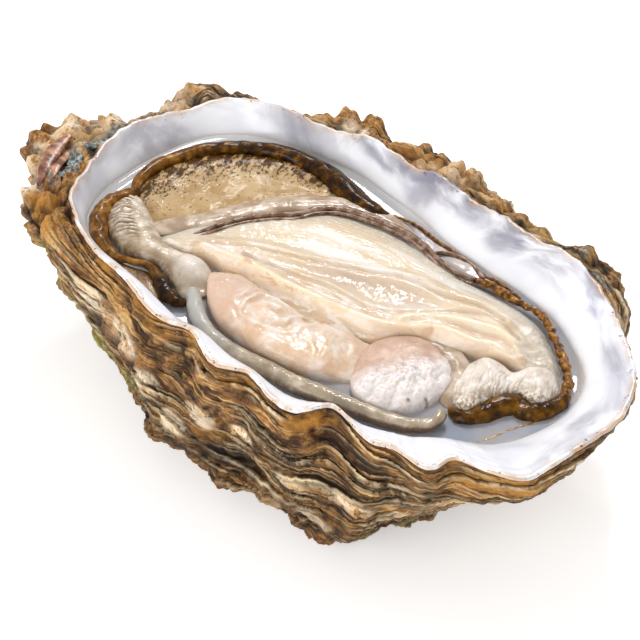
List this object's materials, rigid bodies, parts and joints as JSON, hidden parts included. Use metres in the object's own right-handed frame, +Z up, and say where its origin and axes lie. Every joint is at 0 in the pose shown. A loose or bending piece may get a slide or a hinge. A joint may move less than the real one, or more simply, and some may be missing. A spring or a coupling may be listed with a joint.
{
  "type": "oyster on the half shell",
  "caption": "Raw oyster in its deep lower shell: a craggy layered cup with a pale smooth lip, soft folded meat and clear liquor lying in it.",
  "frame": {"origin": "middle of the whole outline seen from above, on the surface that the shell's flat sole rests on", "axes": "+X from the hinge to the thin bill end, the longest way; +Y across, away from the low front of the picture; +Z up, the shortest way, with the meat facing up"},
  "size_m": [0.1305, 0.0799, 0.0364],
  "materials": {
    "shell": "matte",
    "liquor": "gloss",
    "gill_leaf": "gloss",
    "body_meat": "gloss",
    "mantle": "gloss",
    "muscle": "satin"
  },
  "bodies": {
    "root": {"shell": "shell", "liquor": "liquor", "gills": "gill_leaf", "visceral_mass": "body_meat", "mantle_back": "mantle", "mantle_left": "mantle", "mantle_front": "mantle", "mantle_right": "mantle", "adductor_muscle": "muscle"}
  },
  "joints": []
}
